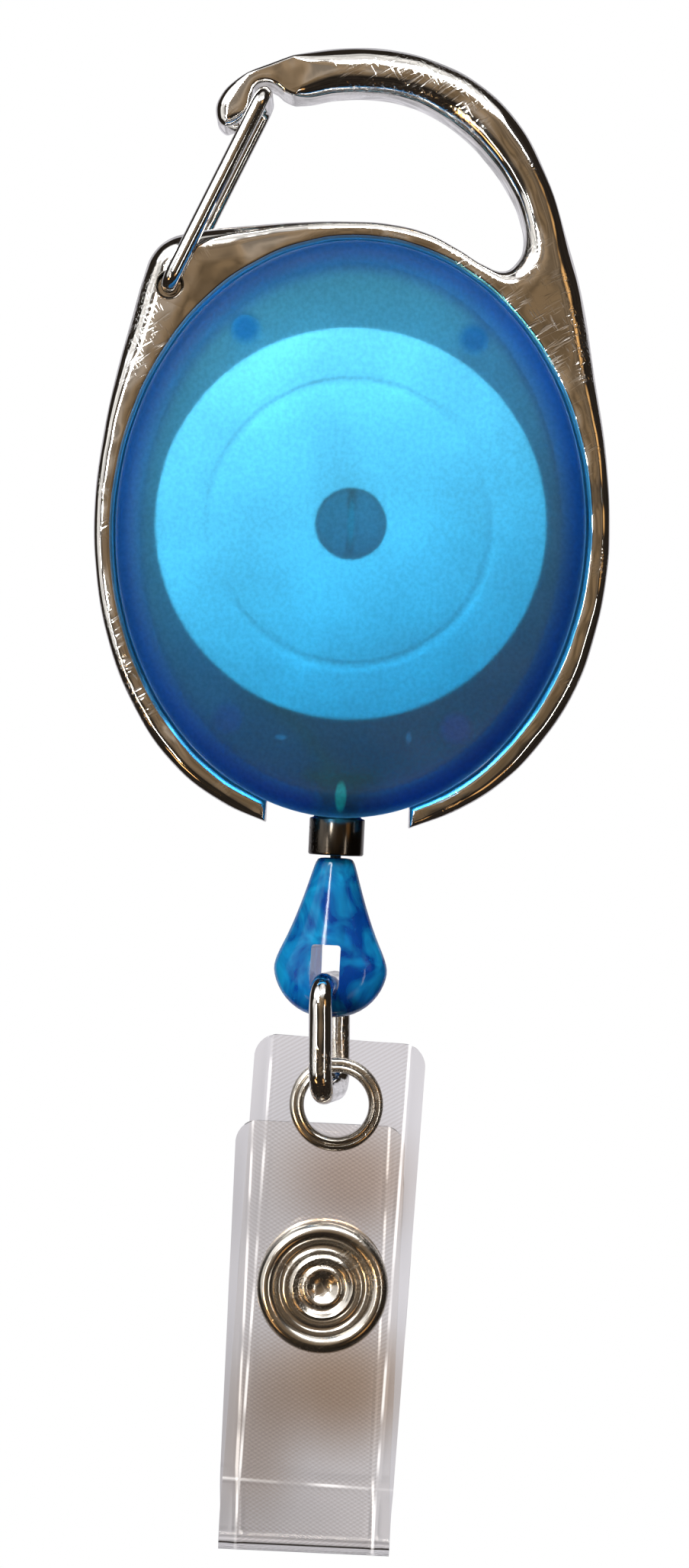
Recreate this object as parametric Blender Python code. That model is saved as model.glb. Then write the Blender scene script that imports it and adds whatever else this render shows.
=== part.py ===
"""Retractable badge reel on a carabiner frame, one object per physical piece.

Sizes are typed in millimetres from the centre of the oval case: x to the right, y away from the
viewer, z up. Every mesh is then moved so that the hang point, the inside top of the hook, is the
world origin, and scaled to metres.
"""

import math
from itertools import pairwise

import bmesh
import bpy
from mathutils import Matrix, Vector

MM = 0.001
HANG_Z = 32.25
GAP = 0.3
SNUG = 0.1

# case
CASE_A = 17.25
CASE_B = 21.2
CASE_HALF_DEPTH = 4.7
CASE_WALL = 1.6
CASE_PLATE = 1.2
CASE_EDGE = 1.4
RIB_DEPTH = 0.7
RIB_HALF = 0.6
PARTING = 0.15
WELD_X = 8.4
WELD_Z = 14.3
WELD_R = 1.1

# spool, spring and cord
AXLE_Z = 0.4
AXLE_R = 2.45
AXLE_SLOT = 0.6
SPOOL_R = 14.5
DRUM_R = 10.6
DRUM_WALL = 0.7
SPRING_TURNS = 8
SPRING_STRIP = 0.2
CORD_R = 0.4
CORD_PITCH = 0.9
WINDING_COLUMNS = 4
WINDING_ROWS = 3
EXIT_Z = -17.4

# frame and gate
FRAME_HALF_DEPTH = 2.75
FRAME_END_X = 5.3
FRAME_BEVEL = 0.45
GATE_PIVOT = (-14.2, 17.4)
GATE_TIP = (-7.8, 31.7)
GATE_WIRE_R = 0.6
GATE_LEG_Y = 3.65
GATE_BEND = 1.1

# bead and link
BEAD_TURN = math.radians(-10)
EYE_R = 1.1
EYE_TOP_Z = -30.6
EYE_FOOT_Z = -33.4
LINK_WIRE_R = 0.85
LINK_TOP_Z = -33.5
LINK_LENGTH = 8.0
LINK_HALF = 3.85
LINK_BEND = 1.6
LINK_TILT = math.radians(-2.5)
LINK_LOW = (0.35, 0, LINK_TOP_Z - LINK_LENGTH)

# strap and its metalwork
STRAP_WIDTH = 12.7
STRAP_THICK = 0.55
STRAP_TOP_Z = -37.6
STRAP_FOLD_Z = -74.36
FOLD_R = 1.34
FLAP_TOP_Z = -44.1
FLAP_X = -0.15
STRAP_TILT = math.radians(1.65)
EYELET_AT = (0.9, -42.45)
EYELET_BORE = 2.3
EYELET_FLANGE = 3.4
SNAP_AT = (0.5, -56.0)
SNAP_R = 4.9


def circle(radius, count):
    """Points of a circle as (across, up) pairs."""
    steps = [2 * math.pi * i / count for i in range(count)]
    return [(radius * math.cos(t), radius * math.sin(t)) for t in steps]


def about_y(at, radius, y, count):
    return [(at[0] + u, y, at[1] + v) for u, v in circle(radius, count)]


def about_z(at, radius, z, count):
    return [(at[0] + u, at[1] + v, z) for u, v in circle(radius, count)]


def oval(a, b, y, count=64):
    return [(a * u, y, b * v) for u, v in circle(1.0, count)]


def catmull(points, steps):
    """A smooth open line through the points."""
    padded = [points[0], *points, points[-1]]
    line = []
    for p0, p1, p2, p3 in zip(padded, padded[1:], padded[2:], padded[3:]):
        for i in range(steps):
            t = i / steps
            line.append(
                tuple(
                    0.5
                    * (
                        2 * b
                        + (c - a) * t
                        + (2 * a - 5 * b + 4 * c - d) * t * t
                        + (3 * b - a - 3 * c + d) * t**3
                    )
                    for a, b, c, d in zip(p0, p1, p2, p3)
                )
            )
    line.append(tuple(points[-1]))
    return line


def rounded_line(points, radius, steps=5, closed=False):
    """A polyline with each corner turned by an arc."""
    points = [Vector(p) for p in points]
    count = len(points)
    corners = range(count) if closed else range(1, count - 1)
    line = [] if closed else [points[0]]
    for i in corners:
        here = points[i]
        back = (points[i - 1] - here).normalized()
        ahead = (points[(i + 1) % count] - here).normalized()
        half = back.angle(ahead) / 2
        inward = (back + ahead).normalized()
        centre = here + inward * (radius / math.sin(half))
        start = here + back * (radius / math.tan(half)) - centre
        end = here + ahead * (radius / math.tan(half)) - centre
        sweep = math.pi - 2 * half
        for k in range(steps + 1):
            before = start * math.sin(sweep * (1 - k / steps))
            after = end * math.sin(sweep * k / steps)
            line.append(centre + (before + after) / math.sin(sweep))
    if not closed:
        line.append(points[-1])
    return line


def loft(rings, closed=False):
    """A closed body through rings of as many points each, capped or joined end to end."""
    bm = bmesh.new()
    rows = [[bm.verts.new(p) for p in ring] for ring in rings]
    if closed:
        rows.append(rows[0])
    for low, high in pairwise(rows):
        for i in range(len(low)):
            j = (i + 1) % len(low)
            bm.faces.new((low[i], low[j], high[j], high[i]))
    if not closed:
        bm.faces.new(rows[0])
        bm.faces.new(rows[-1])
    bmesh.ops.recalc_face_normals(bm, faces=bm.faces)
    return bm


def lathe_y(profile, at, count=40):
    """A ring-shaped body turned about an axis along y, from (radius, y) pairs."""
    return loft([about_y(at, r, y, count) for r, y in profile], closed=True)


def plug_y(profile, at, count=40):
    """A solid body turned about an axis along y, from (radius, y) pairs."""
    return loft([about_y(at, r, y, count) for r, y in profile])


def rod_y(at, radius, y0, y1, count=32):
    return plug_y([(radius, y0), (radius, y1)], at, count)


def box(low, high):
    (x0, y0, z0), (x1, y1, z1) = low, high
    square = [(x0, z0), (x1, z0), (x1, z1), (x0, z1)]
    return loft([[(x, y, z) for x, z in square] for y in (y0, y1)])


def prism(outline, y0, y1):
    return loft([[(x, y, z) for x, z in outline] for y in (y0, y1)])


def tube(path, radius, sides=8, closed=False):
    """A round wire along the path, its section carried along without twist."""
    path = [Vector(p) for p in path]
    count = len(path)
    ways = []
    for i in range(count):
        before = path[i - 1] if i or closed else path[i]
        after = path[(i + 1) % count] if i < count - 1 or closed else path[i]
        ways.append((after - before).normalized())
    across = ways[0].orthogonal().normalized()
    rings = []
    for point, way in zip(path, ways):
        across = (across - way * across.dot(way)).normalized()
        other = way.cross(across)
        rings.append([point + across * u + other * v for u, v in circle(radius, sides)])
    return loft(rings, closed)


def joined(bodies):
    """Several closed bodies as one mesh, for a Boolean to read."""
    whole = bmesh.new()
    for body in bodies:
        mesh = bpy.data.meshes.new("joined")
        body.to_mesh(mesh)
        body.free()
        whole.from_mesh(mesh)
        bpy.data.meshes.remove(mesh)
    return whole


def add_object(name, bm, pivot=(0.0, 0.0, HANG_Z)):
    """The object of a body, its origin at the pivot and its vertices around it."""
    pivot = Vector(pivot)
    bmesh.ops.translate(bm, verts=bm.verts, vec=-pivot)
    bmesh.ops.scale(bm, verts=bm.verts, vec=(MM, MM, MM))
    mesh = bpy.data.meshes.new(name)
    bm.to_mesh(mesh)
    bm.free()
    obj = bpy.data.objects.new(name, mesh)
    obj.location = (pivot - Vector((0, 0, HANG_Z))) * MM
    bpy.context.scene.collection.objects.link(obj)
    return obj


def finish(name, bm, look, pivot=(0.0, 0.0, HANG_Z)):
    """The object with its own material, from colour, metallic and roughness."""
    obj = add_object(name, bm, pivot)
    colour, metallic, rough = look
    material = bpy.data.materials.new(name)
    material.use_nodes = True
    shader = material.node_tree.nodes["Principled BSDF"]
    shader.inputs["Base Color"].default_value = (*colour, 1)
    shader.inputs["Metallic"].default_value = metallic
    shader.inputs["Roughness"].default_value = rough
    obj.data.materials.append(material)
    return obj


def apply_boolean(obj, operation, bm):
    """Cuts the body from the object, or joins it to the object."""
    other = add_object(f"{obj.name}_{operation.lower()}_{len(obj.modifiers)}", bm)
    other.hide_render = True
    other.display_type = "WIRE"
    modifier = obj.modifiers.new(other.name, "BOOLEAN")
    modifier.operation = operation
    modifier.solver = "EXACT"
    modifier.object = other


CHROME = ((0.62, 0.60, 0.57), 1.0, 0.12)
DARK_CHROME = ((0.20, 0.19, 0.18), 1.0, 0.25)
NICKEL = ((0.55, 0.53, 0.50), 1.0, 0.25)
STEEL = ((0.45, 0.46, 0.48), 1.0, 0.35)
BLUE = ((0.02, 0.20, 0.52), 0.0, 0.25)
WHITE = ((0.85, 0.86, 0.88), 0.0, 0.40)
CORD = ((0.01, 0.01, 0.012), 0.0, 0.70)
VINYL = ((0.70, 0.67, 0.66), 0.0, 0.25)


def carabiner_frame():
    """Oval ring open at the bottom, corner for the gate, hook with a notched nose."""
    left_side = [
        (-5.3, -21.7), (-7.6, -20.9), (-11.2, -18.8), (-13.6, -16.4), (-16.2, -12.2),
        (-17.9, -7.6), (-18.8, -2.6), (-18.95, 1.2), (-18.5, 6.0), (-17.9, 10.3),
        (-16.9, 14.9), (-16.1, 18.2), (-15.6, 19.8), (-14.5, 20.8), (-12.9, 21.4),
        (-11.2, 21.9), (-8.5, 22.2), (-5.9, 22.4), (-1.5, 22.7), (2.5, 22.6),
        (4.6, 22.1), (7.0, 20.9), (9.2, 19.8), (10.6, 19.7), (11.5, 20.5),
        (11.9, 21.9), (11.5, 23.8), (10.3, 26.1), (8.7, 28.1), (7.0, 29.8),
        (4.7, 31.1), (2.5, 31.9), (0.0, 32.25), (-2.4, 32.1), (-5.2, 31.6),
        (-6.3, 31.9), (-7.1, 32.5), (-7.9, 32.65), (-8.5, 32.35), (-8.75, 31.7),
        (-8.95, 30.6),
    ]
    hook = [
        (-8.95, 30.6), (-10.4, 29.3), (-10.9, 29.4), (-11.35, 30.3), (-11.1, 31.5),
        (-9.9, 32.9), (-7.1, 34.2), (-4.8, 35.15), (-1.8, 35.65), (1.75, 35.55),
        (4.6, 34.9), (7.7, 33.6), (10.8, 31.0), (13.3, 26.8), (15.0, 22.0),
        (16.2, 18.4), (17.5, 12.0), (18.6, 6.0), (19.1, 0.8), (19.1, -1.6),
        (18.6, -6.1), (17.3, -10.7), (14.5, -15.3), (12.4, -17.7), (9.0, -20.1),
        (5.3, -21.7),
    ]
    a = CASE_A + GAP
    b = CASE_B + GAP
    first = -math.acos(FRAME_END_X / a)
    last = math.pi - first
    angles = [first + (last - first) * i / 64 for i in range(65)]
    outline = catmull(left_side, 2)[:-1]
    outline += catmull(hook, 2)
    outline += [(a * math.cos(t), b * math.sin(t)) for t in angles]
    bm = prism(outline, -FRAME_HALF_DEPTH, FRAME_HALF_DEPTH)
    rims = [e for e in bm.edges if abs(e.verts[0].co.y - e.verts[1].co.y) < 1e-6]
    bmesh.ops.bevel(
        bm,
        geom=rims,
        affect="EDGES",
        offset=FRAME_BEVEL,
        offset_type="OFFSET",
        segments=2,
        profile=0.5,
        material=-1,
        clamp_overlap=True,
    )
    frame = finish("carabiner_frame", bm, CHROME)
    rib_angles = [first + 0.02 + (last - first - 0.04) * i / 56 for i in range(57)]
    rib = [((a + 0.2) * math.cos(t), (b + 0.2) * math.sin(t)) for t in rib_angles]
    inner_a = CASE_A - RIB_DEPTH + GAP
    inner_b = CASE_B - RIB_DEPTH + GAP
    rib += [(inner_a * math.cos(t), inner_b * math.sin(t)) for t in reversed(rib_angles)]
    apply_boolean(frame, "UNION", prism(rib, -RIB_HALF, RIB_HALF))
    hole = GATE_WIRE_R + GAP
    depth = FRAME_HALF_DEPTH + 1
    holes = [rod_y(GATE_PIVOT, hole, -depth, -0.9, 20), rod_y(GATE_PIVOT, hole, 0.9, depth, 20)]
    apply_boolean(frame, "DIFFERENCE", joined(holes))


def cover_body(side):
    """One half of the case; side is -1 for the front half and 1 for the rear half."""
    profile = []
    for k in range(4):
        t = math.pi / 2 * k / 3
        inset, drop = CASE_EDGE * (1 - math.sin(t)), CASE_EDGE * (1 - math.cos(t))
        profile.append((inset, CASE_HALF_DEPTH - drop))
    profile += [
        (0.0, RIB_HALF + GAP),
        (RIB_DEPTH, RIB_HALF + GAP),
        (RIB_DEPTH, PARTING),
        (CASE_WALL, PARTING),
        (CASE_WALL, CASE_HALF_DEPTH - CASE_PLATE),
    ]
    return loft([oval(CASE_A - inset, CASE_B - inset, side * y) for inset, y in profile])


def exit_cutter():
    return loft([about_z((0, 0), 2.05, z, 24) for z in (-22.5, -17.5)])


def case_covers():
    """Front shell, and rear shell with the slotted axle post and four weld posts."""
    front = finish("front_cover", cover_body(-1), BLUE)
    apply_boolean(front, "DIFFERENCE", exit_cutter())
    rear = finish("rear_cover", cover_body(1), BLUE)
    inside = CASE_HALF_DEPTH - CASE_PLATE
    posts = [rod_y((0, AXLE_Z), AXLE_R, GAP - inside, inside + 0.4, 32)]
    for x in (-WELD_X, WELD_X):
        for z in (-WELD_Z, WELD_Z):
            posts.append(rod_y((x, z), WELD_R, GAP - inside, inside + 0.4, 16))
    apply_boolean(rear, "UNION", joined(posts))
    slot = AXLE_SLOT / 2
    apply_boolean(rear, "DIFFERENCE", box((-slot, -inside, AXLE_Z - 3), (slot, 2.6, AXLE_Z + 3)))
    apply_boolean(rear, "DIFFERENCE", exit_cutter())


def exit_ferrule():
    """Metal guide held by its flange in the bottom of the case."""
    profile = [
        (0.9, -18.0), (2.9, -18.0), (2.9, -18.8), (1.75, -18.8), (1.75, -21.5),
        (2.05, -21.5), (2.05, -23.75), (1.9, -24.0), (1.15, -24.0), (0.9, -23.7),
    ]
    finish("exit_ferrule", loft([about_z((0, 0), r, z, 28) for r, z in profile], True), DARK_CHROME)


def spool():
    """Disc with a drum on its back: the spring sits inside the drum, the cord outside it."""
    inner = DRUM_R - DRUM_WALL
    profile = [
        (2.75, -3.1), (SPOOL_R - 0.2, -3.1), (SPOOL_R, -2.9), (SPOOL_R, -2.3), (DRUM_R, -2.3),
        (DRUM_R, 1.9), (SPOOL_R - 0.2, 1.9), (SPOOL_R - 0.2, 2.6), (inner, 2.6), (inner, -2.3),
        (2.75, -2.3),
    ]
    axle = (0, AXLE_Z)
    finish("spool", lathe_y(profile, axle, 64), WHITE, (0, 0, AXLE_Z))


def power_spring():
    """Flat spiral strip from the slot of the axle post to the inside of the drum."""
    steps = SPRING_TURNS * 30
    start = AXLE_R + 0.45
    end = DRUM_R - DRUM_WALL - 0.35
    line = [Vector((0, 0.3)), Vector((0, 1.6))]
    for i in range(steps + 1):
        t = math.pi / 2 - 2 * math.pi * SPRING_TURNS * i / steps
        r = start + (end - start) * i / steps
        line.append(Vector((-r * math.cos(t), r * math.sin(t))))
    sides = ([], [])
    for i, point in enumerate(line):
        back = line[max(i - 1, 0)]
        ahead = line[min(i + 1, len(line) - 1)]
        way = (ahead - back).normalized()
        normal = Vector((-way.y, way.x)) * SPRING_STRIP / 2
        sides[0].append(point + normal)
        sides[1].append(point - normal)
    rings = []
    for left, right in zip(*sides):
        corners = [(left, -1.9), (right, -1.9), (right, 2.3), (left, 2.3)]
        rings.append([(p.x, y, p.y + AXLE_Z) for p, y in corners])
    finish("power_spring", loft(rings), STEEL)


def winding_place(turn):
    """Radius and y of the wound cord after this many turns, in layers that go to and fro."""
    whole = min(int(turn), WINDING_COLUMNS * WINDING_ROWS - 1)
    part = min(max((turn - whole - 0.8) / 0.2, 0), 1)
    places = []
    for k in (whole, whole + 1):
        row, column = divmod(k, WINDING_COLUMNS)
        if row % 2:
            column = WINDING_COLUMNS - 1 - column
        places.append((DRUM_R + 0.75 + CORD_PITCH * row, -1.55 + CORD_PITCH * column))
    (r0, y0), (r1, y1) = places
    return r0 + (r1 - r0) * part, y0 + (y1 - y0) * part


def cord_pieces():
    """Cord wound on the drum, its run to the exit, its end through the ferrule, and the knot."""
    last_r, last_y = winding_place(WINDING_COLUMNS * WINDING_ROWS)
    reach = AXLE_Z - EXIT_Z
    leave = -math.pi / 2 + math.acos(last_r / reach)
    turns = WINDING_COLUMNS * WINDING_ROWS
    steps = turns * 24
    path = []
    for i in range(steps + 1):
        turn = turns * i / steps
        r, y = winding_place(turn)
        t = leave - 2 * math.pi * (turn - turns)
        path.append((-r * math.cos(t), y, AXLE_Z + r * math.sin(t)))
    finish("cord_winding", tube(path, CORD_R, 6), CORD, (0, 0, AXLE_Z))

    off = Vector((-last_r * math.cos(leave), last_y, AXLE_Z + last_r * math.sin(leave)))
    corner = Vector((0, 0, EXIT_Z))
    way = (corner + Vector((0, last_y, 0)) - off).normalized()
    run = rounded_line([off + way * 0.8, off + way * 4.5, corner, (0, 0, EXIT_Z - 1.5)], 1.8)
    finish("cord_run", tube(run, CORD_R, 8), CORD)
    tail = [(0, 0, EXIT_Z - 1.8), (0, 0, -21.5), (0, 0, -25.7)]
    finish("cord_tail", tube(tail, CORD_R, 8), CORD)

    knot = [
        (0.35, -26.0), (0.6, -26.2), (0.65, -26.7), (0.5, -27.0), (0.65, -27.3),
        (0.65, -27.8), (0.5, -28.0), (0.6, -28.3), (0.3, -28.6),
    ]
    bm = loft([about_z((0, 0), r, z, 14) for r, z in knot])
    finish("cord_knot", bm, CORD, (0, 0, -26.0))


def bead():
    """Teardrop that hides the knot, with a hole for the link."""
    profile = [
        (1.1, -24.2), (1.35, -24.4), (1.7, -25.5), (2.35, -27.0), (3.05, -28.5),
        (3.75, -30.0), (4.15, -31.2), (4.3, -32.1), (4.2, -33.0), (3.8, -34.0),
        (3.0, -34.9), (1.9, -35.6), (0.8, -36.0),
    ]
    rings = []
    for r, z in catmull(profile, 2):
        deep = 2.7 * math.tanh(r / 2.7)
        rings.append([(r * u, deep * v, z) for u, v in circle(1.0, 32)])
    bm = loft(rings)
    turn = Matrix.Rotation(BEAD_TURN, 3, "Z")
    bmesh.ops.rotate(bm, verts=bm.verts, matrix=turn, cent=(0, 0, 0))
    obj = finish("bead", bm, BLUE, (0, 0, LINK_TOP_Z))
    bore = [(0.75, -23.0), (0.75, -25.6), (0.95, -25.65), (0.95, -32.5)]
    apply_boolean(obj, "DIFFERENCE", loft([about_z((0, 0), r, z, 20) for r, z in bore]))
    outline = [(EYE_R, EYE_TOP_Z), (-EYE_R, EYE_TOP_Z)]
    for k in range(11):
        t = math.pi * (1 + k / 10)
        outline.append((EYE_R * math.cos(t), EYE_FOOT_Z + EYE_R * math.sin(t)))
    eye = prism(outline, -4, 4)
    bmesh.ops.rotate(eye, verts=eye.verts, matrix=turn, cent=(0, 0, 0))
    apply_boolean(obj, "DIFFERENCE", eye)


def link_ring():
    """Closed wire link between the bead and the eyelet."""
    half = LINK_HALF
    corners = [(0, -half, 0), (0, half, 0), (0, half, -LINK_LENGTH), (0, -half, -LINK_LENGTH)]
    path = rounded_line(corners, LINK_BEND, 6, closed=True)
    bm = tube(path, LINK_WIRE_R, 12, closed=True)
    tilt = Matrix.Rotation(LINK_TILT, 3, "Y")
    turn = Matrix.Rotation(BEAD_TURN, 3, "Z")
    bmesh.ops.rotate(bm, verts=bm.verts, matrix=turn @ tilt, cent=(0, 0, 0))
    bmesh.ops.translate(bm, verts=bm.verts, vec=(0, 0, LINK_TOP_Z))
    finish("link_ring", bm, CHROME, (0, 0, LINK_TOP_Z))


def gate_wire():
    """Sprung wire loop with its ends in the two holes of the frame's corner."""
    x0, z0 = GATE_PIVOT
    x1, z1 = GATE_TIP
    y = GATE_LEG_Y
    corners = [
        (x0, -1.3, z0), (x0, -y, z0), (x1, -y, z1), (x1, y, z1), (x0, y, z0), (x0, 1.3, z0),
    ]
    path = rounded_line(corners, GATE_BEND, 6)
    finish("gate_wire", tube(path, GATE_WIRE_R, 12), CHROME, (x0, 0, z0))


def rounded_box_outline(x0, x1, z0, z1, radius):
    """Rectangle with its two upper corners rounded."""
    outline = [(x0, z0), (x1, z0)]
    for k in range(6):
        t = math.pi / 2 * k / 5
        outline.append((x1 - radius + radius * math.cos(t), z1 - radius + radius * math.sin(t)))
    for k in range(6):
        t = math.pi / 2 * (1 + k / 5)
        outline.append((x0 + radius + radius * math.cos(t), z1 - radius + radius * math.sin(t)))
    return outline


def strap():
    """Clear strap folded at the bottom: front layer, fold and rear flap."""
    half = STRAP_WIDTH / 2
    thick = STRAP_THICK / 2
    outline = rounded_box_outline(-half, half, STRAP_FOLD_Z + GAP, STRAP_TOP_Z, 1.6)
    bm = prism(outline, -thick, thick)
    tilt = Matrix.Rotation(STRAP_TILT, 3, "Y")
    bmesh.ops.rotate(bm, verts=bm.verts, matrix=tilt, cent=(0, 0, STRAP_FOLD_Z))
    front = finish("strap_front", bm, VINYL, LINK_LOW)
    holes = [
        rod_y(EYELET_AT, EYELET_BORE + 0.25 + SNUG, -2, 2, 32),
        rod_y(SNAP_AT, 0.9 + SNUG, -2, 2, 20),
    ]
    apply_boolean(front, "DIFFERENCE", joined(holes))

    rings = []
    for k in range(11):
        t = math.pi + math.pi * k / 10
        inner = FOLD_R - thick
        outer = FOLD_R + thick
        y0 = FOLD_R + inner * math.cos(t)
        y1 = FOLD_R + outer * math.cos(t)
        z0 = STRAP_FOLD_Z + inner * math.sin(t)
        z1 = STRAP_FOLD_Z + outer * math.sin(t)
        x = FLAP_X * k / 10
        rings.append([(x - half, y0, z0), (x + half, y0, z0), (x + half, y1, z1), (x - half, y1, z1)])
    finish("strap_fold", loft(rings), VINYL, LINK_LOW)

    middle = 2 * FOLD_R
    outline = rounded_box_outline(FLAP_X - half, FLAP_X + half, STRAP_FOLD_Z + SNUG, FLAP_TOP_Z, 1.6)
    pivot = (0, FOLD_R, STRAP_FOLD_Z)
    flap = finish("strap_flap", prism(outline, middle - thick, middle + thick), VINYL, pivot)
    apply_boolean(flap, "DIFFERENCE", rod_y(SNAP_AT, 0.9 + SNUG, 1, 5, 20))


def eyelet_pieces():
    """Eyelet pressed through the front layer and the washer it is rolled over."""
    bore = EYELET_BORE
    front = -STRAP_THICK / 2 - SNUG
    back = STRAP_THICK / 2 + SNUG
    profile = [
        (bore, -0.2), (bore + 0.08, -0.6), (bore + 0.35, -0.95), (bore + 0.7, -1.0),
        (EYELET_FLANGE - 0.2, -0.75), (EYELET_FLANGE, front - 0.1), (EYELET_FLANGE - 0.1, front),
        (bore + 0.25, front), (bore + 0.25, back + 0.55), (bore + 0.7, back + 0.55),
        (bore + 0.75, back + 0.75), (bore + 0.45, back + 0.9), (bore + 0.12, back + 0.7),
        (bore, back),
    ]
    finish("eyelet", lathe_y(profile, EYELET_AT, 36), NICKEL, LINK_LOW)
    washer = [
        (bore + 0.35, back), (EYELET_FLANGE, back), (EYELET_FLANGE - 0.1, back + 0.3),
        (bore + 0.35, back + 0.45),
    ]
    finish("eyelet_washer", lathe_y(washer, EYELET_AT, 36), NICKEL, LINK_LOW)


def snap_pieces():
    """Snap fastener: ring cap and socket on the front layer, stud and back ring on the flap."""
    pivot = (0, FOLD_R, STRAP_FOLD_Z)
    front = -STRAP_THICK / 2 - SNUG
    back = STRAP_THICK / 2 + SNUG
    cap = [
        (0.5, front - 0.35), (1.1, front - 0.4), (1.7, front - 0.75), (2.4, front - 0.95),
        (2.9, front - 0.75), (3.4, front - 0.4), (3.75, front - 0.85), (4.25, front - 1.05),
        (4.7, front - 0.85), (SNAP_R, front - 0.45), (4.8, front - 0.1), (4.5, front),
        (0.9, front), (0.9, back + 0.35), (1.4, back + 0.38), (1.4, back + 0.55),
        (0.5, back + 0.6),
    ]
    finish("snap_cap", plug_y(cap, SNAP_AT, 40), NICKEL, LINK_LOW)
    socket = [
        (1.0, back), (3.9, back), (4.0, back + 0.2), (3.9, back + 1.1), (3.5, back + 1.35),
        (2.5, back + 1.35), (2.1, back + 1.15), (2.3, back + 0.9), (2.3, back + 0.27),
        (1.0, back + 0.27),
    ]
    finish("snap_socket", lathe_y(socket, SNAP_AT, 36), NICKEL, LINK_LOW)
    near = 2 * FOLD_R - STRAP_THICK / 2 - SNUG
    far = 2 * FOLD_R + STRAP_THICK / 2 + SNUG
    stud = [
        (1.0, near - 1.1), (1.55, near - 1.0), (1.7, near - 0.75), (1.5, near - 0.45),
        (1.6, near - 0.25), (3.4, near - 0.25), (3.6, near - 0.15), (3.6, near),
        (0.9, near), (0.9, far - 0.15), (0.6, far - 0.1),
    ]
    finish("snap_stud", plug_y(stud, SNAP_AT, 36), NICKEL, pivot)
    ring = [
        (1.0, far + 0.3), (1.0, far), (4.5, far), (4.8, far + 0.15), (4.7, far + 0.6),
        (4.2, far + 0.75), (3.6, far + 0.4), (2.4, far + 0.75), (1.4, far + 0.7),
    ]
    finish("snap_back_ring", lathe_y(ring, SNAP_AT, 40), NICKEL, pivot)


def main():
    for obj in list(bpy.data.objects):
        bpy.data.objects.remove(obj)
    carabiner_frame()
    case_covers()
    exit_ferrule()
    spool()
    power_spring()
    cord_pieces()
    gate_wire()
    bead()
    link_ring()
    strap()
    eyelet_pieces()
    snap_pieces()


main()
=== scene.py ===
import math

import bmesh
import bpy
from mathutils import Matrix, Quaternion, Vector, noise


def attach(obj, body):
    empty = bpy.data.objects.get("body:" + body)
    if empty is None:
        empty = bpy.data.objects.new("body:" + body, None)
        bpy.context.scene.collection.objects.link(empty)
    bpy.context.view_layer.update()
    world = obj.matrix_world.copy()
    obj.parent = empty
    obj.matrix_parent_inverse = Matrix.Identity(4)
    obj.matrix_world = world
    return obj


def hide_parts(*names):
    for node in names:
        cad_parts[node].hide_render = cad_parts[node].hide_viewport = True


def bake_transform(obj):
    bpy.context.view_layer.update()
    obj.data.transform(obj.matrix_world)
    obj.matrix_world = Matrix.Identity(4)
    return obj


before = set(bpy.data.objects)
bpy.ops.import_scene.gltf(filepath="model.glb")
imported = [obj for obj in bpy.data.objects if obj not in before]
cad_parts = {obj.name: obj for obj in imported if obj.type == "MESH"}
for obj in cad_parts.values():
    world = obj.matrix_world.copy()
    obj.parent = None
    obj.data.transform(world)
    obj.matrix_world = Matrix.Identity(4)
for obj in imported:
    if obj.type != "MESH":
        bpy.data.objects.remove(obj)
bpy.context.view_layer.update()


# ---------------------------------------------------------------- camera, light and ground
# The reel hangs in front of a pale sweep. It is seen square on from the label side, turned a
# little about the line of sight, so the strap's end lies to the left of the hook.

MM = 0.001
HANG_Z = 32.25  # height of the hang point over the middle of the case, in millimetres
ROLL = math.radians(2.65)
VIEW_MIDDLE = (0.41, -18.7)
VIEW_DISTANCE = 323.0
FLOOR_Z = -110
FLOOR_HALF = 3


def place(x, y, z):
    """A point in metres from millimetres counted from the middle of the case."""
    return Vector((x, y, z - HANG_Z)) * MM


def new_object(name, data):
    """An object in the scene."""
    obj = bpy.data.objects.new(name, data)
    bpy.context.scene.collection.objects.link(obj)
    return obj


camera = new_object("camera", bpy.data.cameras.new("camera"))
camera.data.lens = 100
camera.data.sensor_width = 36
camera.data.clip_start = 0.01
side, lift = math.cos(ROLL), math.sin(ROLL)
turn = Matrix(((side, -lift, 0), (0, 0, -1), (lift, side, 0)))
spot = place(VIEW_MIDDLE[0], -VIEW_DISTANCE, VIEW_MIDDLE[1])
camera.matrix_world = Matrix.Translation(spot) @ turn.to_4x4()
bpy.context.scene.camera = camera
bpy.context.scene.view_settings.view_transform = "Standard"


def soft_light(name, spot, width, height, watts, colour):
    """An area light that looks at the middle of the reel."""
    lamp = bpy.data.lights.new(name, "AREA")
    lamp.shape = "RECTANGLE"
    lamp.size = width
    lamp.size_y = height
    lamp.energy = watts
    lamp.color = colour
    obj = new_object(name, lamp)
    obj.location = spot
    away = Vector(spot) - place(0, 0, -18)
    obj.rotation_euler = away.to_track_quat("Z", "Y").to_euler()


soft_light("window_light", (-0.10, -0.14, 0.10), 0.06, 0.08, 0.44, (0.96, 0.98, 1.0))
soft_light("top_light", (0.05, -0.12, 0.10), 0.14, 0.05, 0.34, (1.0, 0.99, 0.97))
soft_light("tall_lamp", (-0.085, -0.19, 0.032), 0.020, 0.11, 0.30, (1.0, 1.0, 1.0))
soft_light("left_lamp", (-0.16, -0.20, -0.10), 0.008, 0.12, 0.05, (1.0, 0.98, 0.95))
soft_light("right_lamp", (0.16, -0.20, -0.10), 0.008, 0.12, 0.04, (1.0, 0.95, 0.88))
soft_light("warm_lamp", (-0.16, -0.22, -0.16), 0.02, 0.02, 0.12, (1.0, 0.62, 0.25))


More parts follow.
